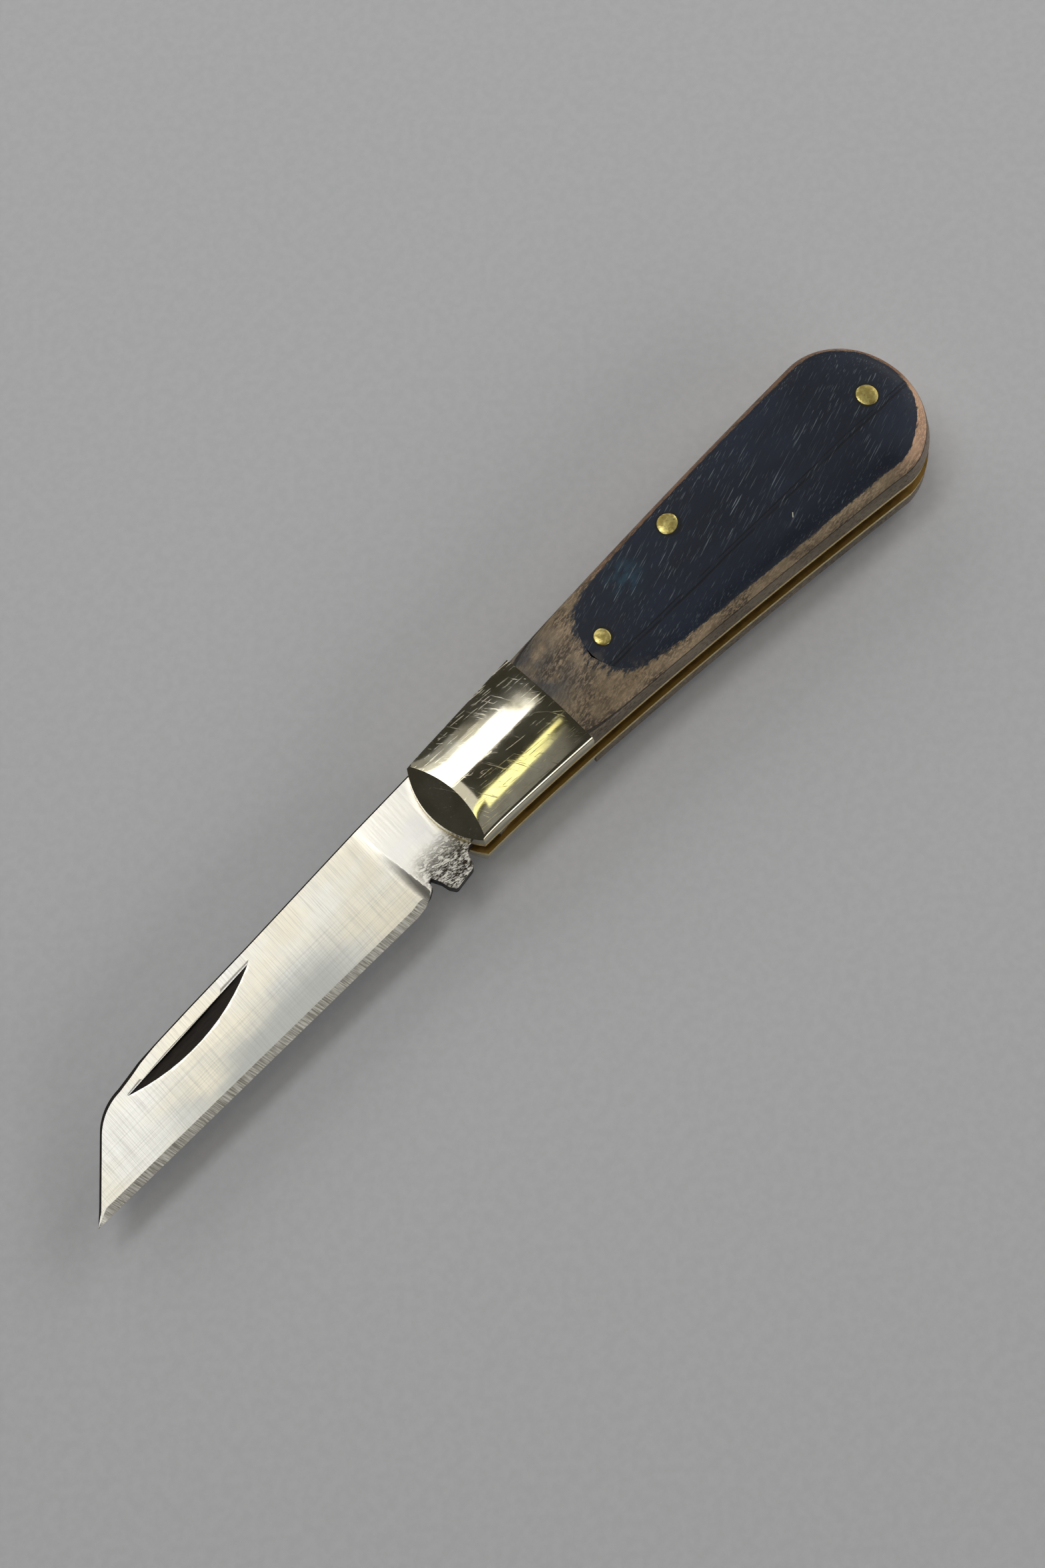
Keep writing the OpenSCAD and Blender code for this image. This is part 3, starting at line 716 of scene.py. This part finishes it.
def make_blade():
    bm = bmesh.new()
    columns = []
    for u in blade_stations():
        rows = blade_section(u)
        ring = [place(u, v, w) for v, w in rows] + [place(u, v, -w) for v, w in reversed(rows)]
        columns.append([bm.verts.new(co) for co in ring])
    count = len(columns[0])
    rows = count // 2
    for a, b, u in zip(columns, columns[1:], blade_stations()):
        for i in range(count):
            j = (i + 1) % count
            face = bm.faces.new((a[i], b[i], b[j], a[j]))
            strip = min(i, count - 2 - i) if i < count - 1 else -1
            if strip == 0 and u < EDGE_MATERIAL_U:
                face.material_index = 1
            elif strip == -1 or strip >= rows - 4:
                face.material_index = 2
    cap(bm, list(reversed(columns[0])))
    cap(bm, columns[-1])
    # Tang behind the spring's front end, flat on both sides
    seat_turn = math.acos(SEAT_R / CAM_R)
    start = math.atan2(math.cos(SWING), math.sin(SWING)) + seat_turn
    stop = math.pi / 2 - seat_turn
    tang = [(SPRING_FRONT, TANG_V), (-2.6, -4.6)]
    tang += [(-1.6, (SEAT_R + math.sin(SWING) * 1.6) / math.cos(SWING))]
    for i in range(CAM_STEPS + 1):
        turn = lerp(start, stop, i / CAM_STEPS)
        tang.append((CAM_R * math.cos(turn), CAM_R * math.sin(turn)))
    tang += [(SPRING_FRONT, SEAT_R)]
    top = [bm.verts.new(place(u, v, BLADE_HALF)) for u, v in tang]
    bottom = [bm.verts.new(place(u, v, -BLADE_HALF)) for u, v in tang]
    cap(bm, top)
    cap(bm, list(reversed(bottom)))
    skin(bm, [[a, b] for a, b in zip(bottom, top)], ring=True)
    blade = finish_mesh(bm, "blade_visual", sharp_angle=9.0)

    # Nail nick, cut by a wide tilted disc
    disc_r = (NICK_HALF_LENGTH * NICK_HALF_LENGTH + NICK_DEPTH * NICK_DEPTH) / (2 * NICK_DEPTH)
    tilt = math.atan(NICK_DEPTH / NICK_HEIGHT)
    cut = bmesh.new()
    bmesh.ops.create_cone(cut, cap_ends=True, segments=400,
                          radius1=disc_r * MM, radius2=disc_r * MM, depth=8 * MM)
    ground = (Matrix.Translation(place(0, HEEL[1], EDGE_HALF))
              @ Matrix.Rotation(math.atan(GRIND_TAN), 4, "X"))
    at = (ground @ Matrix.Translation(Vector((NICK_AT[0], NICK_AT[1] - HEEL[1], 0)) * MM)
          @ Matrix.Rotation(math.radians(NICK_TURN), 4, "Z")
          @ Matrix.Rotation(math.pi / 2 - tilt, 4, "X")
          @ Matrix.Translation(Vector((0, disc_r - NICK_DEPTH, 4)) * MM))
    bmesh.ops.transform(cut, matrix=at, verts=cut.verts)
    cutter = finish_mesh(cut, "nick_cutter", sharp_angle=5.0)
    # The spine, the edge's very tip and the nail nick take the steel with painted shade
    for material in (BLADE_STEEL, EDGE_STEEL, PAINTED_DARK_STEEL):
        blade.data.materials.append(material)
    cutter.data.materials.append(PAINTED_DARK_STEEL)
    mod = blade.modifiers.new("Nail nick", "BOOLEAN")
    mod.operation = "DIFFERENCE"
    mod.solver = "EXACT"
    mod.material_mode = "TRANSFER"
    mod.object = cutter
    graph = bpy.context.evaluated_depsgraph_get()
    cut_mesh = bpy.data.meshes.new_from_object(blade.evaluated_get(graph))
    blade.modifiers.clear()
    blade.data = cut_mesh
    cut_mesh.name = "blade_visual"
    bpy.data.objects.remove(cutter)
    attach(blade, "blade")
    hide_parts("blade")


make_blade()

# ---- Bolsters --------------------------------------------------------------------------------

FACET_TOP_U = -2.4
FACET_SLOPE = 25.5
FACET_TAN = math.tan(math.radians(FACET_SLOPE))
CREASE_SINK, CREASE_REACH = 0.11, 2.6               # buffing beside the facet's crease
REAR_SINK, REAR_REACH = 0.02, 0.8                   # buffing beside the back edge
SHOULDER_R, SHOULDER_FALL = 0.6, 0.75
EDGE_ROUND, EDGE_ROUND_ANGLE = 0.16, 20
HALF_H = (back_v(BOLSTER_BACK) - well_v(BOLSTER_BACK)) / 2
DOME_RISE = DOME - WALL
DOME_R = (HALF_H ** 2 + DOME_RISE ** 2) / (2 * DOME_RISE)


def dome_w(v):
    return DOME - DOME_R + math.sqrt(DOME_R ** 2 - (v - FRONT_CENTRE[1]) ** 2)


def soften(u, crease):
    """How far the buffed dome sinks towards the facet's crease and the bolster's back edge."""
    front = clamp01((crease + CREASE_REACH - u) / CREASE_REACH)
    rear = clamp01((u - BOLSTER_BACK + REAR_REACH) / REAR_REACH)
    return CREASE_SINK * front ** 2 * (1 if u >= crease else 0) + REAR_SINK * rear ** 2


def shoulder_fall(reach):
    """How far the well-side shoulder drops at this distance from the well edge."""
    gone = clamp01(1 - reach / SHOULDER_R)
    return SHOULDER_FALL * (1 - math.sqrt(max(0.0, 1 - gone * gone)))


def border(rows):
    """The outer ring of a grid, row by row."""
    ring = rows[0] + [row[-1] for row in rows[1:]]
    return ring + rows[-1][::-1][1:] + [row[0] for row in rows[::-1][1:-1]]


def make_bolster(name, side, node):
    """Domed bolster with a sloping facet across its bowed front."""
    bm = bmesh.new()
    before, behind = 8, 40
    drop = 0.0 if side > 0 else PILE_DROP
    shares = [0.0, 0.0008, 0.0025, 0.005, 0.009, 0.014, 0.020, 0.027, 0.036]
    shares += [lerp(0.05, 1.0, j / 38) for j in range(39)]
    rows = []
    for share in shares:
        v_front = lerp(well_v(CORNER_U) - drop, back_v(CORNER_U), share)
        off_centre = max(0.0, v_front - FRONT_CENTRE[1], FRONT_CENTRE[1] - drop - v_front)
        front = FRONT_CENTRE[0] - math.sqrt(FRONT_R ** 2 - off_centre ** 2)
        fall = shoulder_fall(v_front - well_v(CORNER_U) + drop)
        sunk = dome_w(v_front) - CREASE_SINK - fall
        crease = max(front + 0.02, FACET_TOP_U + (sunk - DOME) / FACET_TAN)
        us = [lerp(front, crease, i / before) for i in range(before)]
        us += [lerp(crease, BOLSTER_BACK, i / behind) for i in range(behind + 1)]
        row = []
        for u in us:
            v = lerp(well_v(u) - drop, back_v(u), share) if u > CORNER_U else v_front
            w = min(dome_w(v) - soften(u, crease) - fall, DOME + (u - FACET_TOP_U) * FACET_TAN)
            row.append((u, v, w))
        rows.append(row)
    top = [[bm.verts.new(place(u, v, side * w)) for u, v, w in row] for row in rows]
    skin(bm, top)
    foot = [bm.verts.new(place(u, v, side * LINER_OUT)) for u, v, _ in border(rows)]
    skin(bm, [[a, b] for a, b in zip(foot, border(top))], ring=True)
    cap(bm, foot)
    bolster = finish_mesh(bm, name, sharp_angle=60.0)
    bevel(bolster, EDGE_ROUND, EDGE_ROUND_ANGLE)
    dress(bolster, "nickel_silver", "handle", [node], NICKEL)


make_bolster("mark_bolster_visual", 1, "mark_bolster")
make_bolster("pile_bolster_visual", -1, "pile_bolster")

# ---- Scales ----------------------------------------------------------------------------------

FAN_U = 67.0                                        # from here the spokes fan round the butt
SPOKE_STEPS, SPOKE_EASE = 90, 1.35
LOW_BUTT_U, LOW_BUTT_LENGTH = 50, 17                # where the well's rim turns into the butt's
BACK_TURN, BACK_TURN_LENGTH = -62, 60               # degrees where the butt's turns into the back's
CROWN_GAP, CROWN_EASE = 0.02, 1.6
ARCH = 0.3
FRONT_ARCH, FRONT_ARCH_LENGTH = 0.7, 8
REAR_ARCH, REAR_ARCH_U, REAR_ARCH_LENGTH = 0.25, 24, 20


class Scale:
    """Crowned surface of one side's scale, and the seams that its plies share."""

    def __init__(self, side, drop, full_u, well, low_butt, back):
        """Each rim is (inset of the wall's top from the outline, sharpness of the shoulder)."""
        self.side = side
        self.drop = drop
        self.full_u = full_u
        self.well, self.low_butt, self.back = well, low_butt, back

    def crown(self, u):
        t = clamp01((u - BOLSTER_BACK) / (self.full_u - BOLSTER_BACK))
        return DOME + (CROWN - CROWN_GAP - DOME) * (1 - (1 - t) ** CROWN_EASE)

    def height(self, u, s, sharp):
        """Height at share s of the way from the middle line (0) to the wall's top (1)."""
        crown = self.crown(u)
        front = FRONT_ARCH * (1 - smooth((u - BOLSTER_BACK) / FRONT_ARCH_LENGTH))
        arch = ARCH + front + REAR_ARCH * smooth((u - REAR_ARCH_U) / REAR_ARCH_LENGTH)
        return crown - arch * s ** 2 - (crown - WALL - arch) * s ** sharp

    def rise(self, spoke, s):
        return self.height(spoke[1][0], s, spoke[2][1])

    def share_at(self, spoke, w):
        """Share s where the surface is at height w, or 0 where the crown is lower than w."""
        if self.crown(spoke[1][0]) <= w:
            return 0.0
        lo, hi = 0.0, 1.0
        for _ in range(40):
            mid = (lo + hi) / 2
            lo, hi = (mid, hi) if self.rise(spoke, mid) > w else (lo, mid)
        return lo

    def spokes(self, from_u):
        """(outer point, middle point, rim) from the well's front, round the butt, to the back's."""
        us = [from_u + (FAN_U - from_u) * (i / SPOKE_STEPS) ** SPOKE_EASE
              for i in range(SPOKE_STEPS + 1)]
        ends = [lerp(FAN_U, BUTT[0], i / 3) for i in (1, 2)]
        hub = (FAN_U, mid_v(FAN_U))

        def blend(one, other, share):
            return tuple(lerp(a, b, smooth(share)) for a, b in zip(one, other))

        under = [((u, well_v(u) - self.drop), (u, mid_v(u)),
                  blend(self.well, self.low_butt, (u - LOW_BUTT_U) / LOW_BUTT_LENGTH)) for u in us]
        over = [((u, back_v(u)), (u, mid_v(u)), self.back) for u in us]
        turn = [((u, well_v(u) - self.drop), hub, self.low_butt) for u in ends]
        for a in list(range(-90, 0, 3)) + ([-0.001] if self.drop else []) + list(range(0, 91, 3)):
            rad = math.radians(a)
            v = BUTT[1] + BUTT_REACH[1] * math.sin(rad) - (self.drop if a < 0 else 0)
            rim = blend(self.low_butt, self.back, (a - BACK_TURN) / BACK_TURN_LENGTH)
            turn.append(((BUTT[0] + BUTT_REACH[0] * math.cos(rad), v), hub, rim))
        turn += [((u, back_v(u)), hub, self.back) for u in ends[::-1]]
        return under + turn + over[::-1]

    def at(self, spoke, s, w):
        """Point at share s of a spoke, whose share 1 lies the rim's inset inside the outline."""
        (ou, ov), (mu, mv), (inset, _) = spoke
        length = math.hypot(ou - mu, ov - mv)
        k = s * (length - inset) / length
        return place(lerp(mu, ou, k), lerp(mv, ov, k), self.side * w)

    def outline(self, spoke):
        return place(spoke[0][0], spoke[0][1], self.side * LINER_OUT)


def close_front(bm, columns):
    cap(bm, columns[0] + columns[-1][::-1])


def make_inner(scale, name, node):
    bm = bmesh.new()
    columns = []
    for spoke in scale.spokes(BOLSTER_BACK):
        s = scale.share_at(spoke, INNER_TOP)
        points = [scale.outline(spoke), scale.at(spoke, 1.0, WALL)]
        points.append(scale.at(spoke, lerp(1, s, 0.5), scale.rise(spoke, lerp(1, s, 0.5))))
        points.append(scale.at(spoke, s, INNER_TOP))
        columns.append([bm.verts.new(p) for p in points])
    skin(bm, columns)
    cap(bm, [c[0] for c in columns])
    cap(bm, [c[-1] for c in columns][::-1])
    close_front(bm, columns)
    dress(finish_mesh(bm, name), "inner_wood", "handle", [node], INNER_WOOD)


def make_middle(scale, name, node):
    bm = bmesh.new()
    columns, hidden = [], []
    for spoke in scale.spokes(BOLSTER_BACK):
        u = spoke[1][0]
        outer, inner = scale.share_at(spoke, INNER_TOP), scale.share_at(spoke, MIDDLE_TOP)
        points = [scale.at(spoke, outer, INNER_TOP)]
        for i in range(1, 12):
            s = lerp(outer, inner, (i / 12) ** 0.8)
            points.append(scale.at(spoke, s, scale.rise(spoke, s)))
        points.append(scale.at(spoke, inner, min(MIDDLE_TOP, scale.crown(u))))
        columns.append([bm.verts.new(p) for p in points])
        if scale.crown(u) > MIDDLE_TOP:
            hidden.append(columns[-1][-1])
    skin(bm, columns)
    cap(bm, [c[0] for c in columns])
    cap(bm, hidden[::-1])
    close_front(bm, columns)
    dress(finish_mesh(bm, name), "middle_wood", "handle", [node], MIDDLE_WOOD)


def nose_u(scale):
    lo, hi = BOLSTER_BACK, scale.full_u
    for _ in range(40):
        mid = (lo + hi) / 2
        lo, hi = (lo, mid) if scale.crown(mid) > MIDDLE_TOP else (mid, hi)
    return hi


def make_outer(scale, name, node):
    bm = bmesh.new()
    columns = []
    for spoke in scale.spokes(nose_u(scale)):
        u = spoke[1][0]
        outer = scale.share_at(spoke, MIDDLE_TOP)
        points = [scale.at(spoke, outer, MIDDLE_TOP)]
        for i in range(1, 20):
            s = outer * (1 - (i / 20) ** 1.4)
            points.append(scale.at(spoke, s, scale.rise(spoke, s)))
        points.append(scale.at(spoke, 0.0, scale.crown(u)))
        columns.append([bm.verts.new(p) for p in points])
    skin(bm, columns)
    cap(bm, [c[0] for c in columns])
    dress(finish_mesh(bm, name), "outer_wood", "handle", [node], OUTER_WOOD)


MARK = Scale(1, 0.0, 48.0, (0.5, 8), (0.6, 7), (0.42, 15))
PILE = Scale(-1, PILE_DROP, 21.0, (-0.2, 20), (-0.2, 20), (0.05, 20))
for scale, side_name in ((MARK, "mark"), (PILE, "pile")):
    make_inner(scale, side_name + "_inner_ply_visual", side_name + "_inner_ply")
    make_middle(scale, side_name + "_middle_ply_visual", side_name + "_middle_ply")
    make_outer(scale, side_name + "_outer_ply_visual", side_name + "_outer_ply")

# ---- Pins ------------------------------------------------------------------------------------


HEAD_RISE, HEAD_PROUD = 0.12, 0.12
FOOT_W = LINER_OUT - 0.5                            # inner end of the short pins


def surface_w(scale, u, v):
    """Height of the scale's surface at (u, v)."""
    inset, sharp = scale.back
    length = (back_v(u) - well_v(u)) / 2 - inset
    if u > FAN_U:
        length = BUTT[0] + BUTT_REACH[0] - FAN_U - inset
        return scale.height(FAN_U, math.hypot(u - FAN_U, v - mid_v(FAN_U)) / length, sharp)
    return scale.height(u, abs(v - mid_v(u)) / length, sharp)


def head(r, top):
    """Profile of a domed, slightly flattened pin head, from its rim up to its middle."""
    points = [(r, top - HEAD_RISE - 0.12), (r - 0.01, top - HEAD_RISE - 0.04)]
    points += [(r * k, top - HEAD_RISE * k ** 5 - 0.02 * k * k)
               for k in (0.975, 0.94, 0.9, 0.8, 0.65, 0.45, 0.2)]
    return points + [(0.0, top)]


def make_pin(name, node, sides):
    """A pin through both sides, or a short one that ends in its own side's liner."""
    u, v, r = PINS.get(node, PINS["mark_scale_pin"])
    bm = bmesh.new()
    tops = [min(surface_w(s, u, v) + HEAD_PROUD, CROWN) for s in sides]
    upper = head(r, tops[0])
    if len(sides) == 2:
        lower = [(a, -b) for a, b in head(r, tops[1])][::-1]
        lathe(bm, (u, v), lower + upper)
    else:
        side = sides[0].side
        profile = [(0.0, FOOT_W), (r, FOOT_W)] + upper
        lathe(bm, (u, v), [(a, side * b) for a, b in profile])
    dress(finish_mesh(bm, name, sharp_angle=50.0), "pin_brass", "handle", [node], PIN_BRASS)


make_pin("spring_pin_visual", "spring_pin", (MARK, PILE))
make_pin("end_pin_visual", "end_pin", (MARK, PILE))
make_pin("mark_scale_pin_visual", "mark_scale_pin", (MARK,))
make_pin("pile_scale_pin_visual", "pile_scale_pin", (PILE,))

# ---- CAD nodes that stay ---------------------------------------------------------------------

KEPT = {
    "back_spring": SPRING_STEEL,
    "mark_liner": LINER_BRASS,
    "pile_liner": LINER_BRASS,
    "pivot_pin": SPRING_STEEL,
    "mark_bolster_rivets": NICKEL,
    "pile_bolster_rivets": NICKEL,
}
for node, material in KEPT.items():
    obj = frame["nodes"][node]
    for i in range(len(obj.material_slots)):
        obj.material_slots[i].material = material

# ---- Camera, floor and light -----------------------------------------------------------------

KNIFE_TURN = math.radians(46.2)
PITCH = math.radians(16.0)
CAMERA_DISTANCE = 0.3004
FOCAL_PIXELS, IMAGE_HEIGHT, SENSOR = 3532, 2352, 36.0
LOOK_AT = Vector((-0.040075, -0.00255, 0.0066))
right = Vector((math.cos(KNIFE_TURN), -math.sin(KNIFE_TURN), 0))
ahead = Vector((math.sin(KNIFE_TURN), math.cos(KNIFE_TURN), 0))
back = -math.sin(PITCH) * ahead + math.cos(PITCH) * Vector((0, 0, 1))
up = back.cross(right)

camera_data = bpy.data.cameras.new("Camera")
camera_data.sensor_width = SENSOR
camera_data.lens = FOCAL_PIXELS / IMAGE_HEIGHT * SENSOR
camera_data.clip_start = 0.01
camera_data.dof.use_dof = False
camera = bpy.data.objects.new("Camera", camera_data)
bpy.context.scene.collection.objects.link(camera)
camera.matrix_world = Matrix.Translation(LOOK_AT + CAMERA_DISTANCE * back) @ Matrix(
    (right, up, back)).transposed().to_4x4()
bpy.context.scene.camera = camera

FLOOR_HALF = 1.5
floor_mesh = bmesh.new()
bmesh.ops.create_grid(floor_mesh, x_segments=8, y_segments=8, size=FLOOR_HALF)
floor = finish_mesh(floor_mesh, "floor")
floor.location.z = cad_lo.z
floor.data.materials.append(floor_paint())


def soft_light(name, position, size, power, colour=(1, 1, 1), target=None):
    """Rectangular soft light. It faces straight down, or its target if it has one."""
    data = bpy.data.lights.new(name, "AREA")
    data.shape = "RECTANGLE"
    data.size, data.size_y = size
    data.energy = power
    data.color = colour
    obj = bpy.data.objects.new(name, data)
    bpy.context.scene.collection.objects.link(obj)
    obj.location = position
    if target is not None:
        obj.rotation_euler = (Vector(target) - Vector(position)).to_track_quat("-Z", "Y").to_euler()


CENTRE = (-0.04, 0, 0.005)
LAMP_Z = 0.80
STRIP_LENGTH, STRIP_END = 0.6, 0.152                # x of the strips' end, past the butt
STRIP_X = STRIP_END - STRIP_LENGTH / 2
WARM = (1.0, 0.96, 0.46)
WORLD_COLOUR, WORLD_STRENGTH = (1.0, 0.97, 0.88, 1.0), 0.05

# The strips lie along the knife, and draw the bright and dark bands on the bolsters
for name, y, width, power, colour in (
    ("Strip", 0.305, 0.18, 1.7, (1, 1, 1)),
    ("Fade_near", 0.430, 0.07, 0.12, (1, 1, 1)),
    ("Fade_far", 0.515, 0.10, 0.06, (1, 1, 1)),
    ("Warm_strip", 0.005, 0.03, 0.12, WARM),
):
    soft_light(name, (STRIP_X, y, LAMP_Z), (STRIP_LENGTH, width), power, colour)
soft_light("Warm_patch", (0.110, -0.035, LAMP_Z), (0.06, 0.07), 0.026, WARM)
soft_light("Low_panel", (STRIP_X, -0.14, LAMP_Z), (STRIP_LENGTH, 0.20), 0.08)
soft_light("Blade_panel", (-0.21, 0.11, LAMP_Z), (0.50, 0.20), 0.27)
soft_light("Back_box", (0.1, 1.0, 0.60), (1.4, 0.6), 4.0, target=CENTRE)
soft_light("Butt_box", (1.0, 0.0, 0.60), (1.0, 0.6), 6.6, target=CENTRE)
soft_light("Well_box", (0.2, -1.1, 0.55), (1.4, 0.5), 4.6, target=CENTRE)

world = bpy.data.worlds.new("Studio")
world.use_nodes = True
world.node_tree.nodes["Background"].inputs["Color"].default_value = WORLD_COLOUR
world.node_tree.nodes["Background"].inputs["Strength"].default_value = WORLD_STRENGTH
bpy.context.scene.world = world
bpy.context.scene.view_settings.view_transform = "Standard"
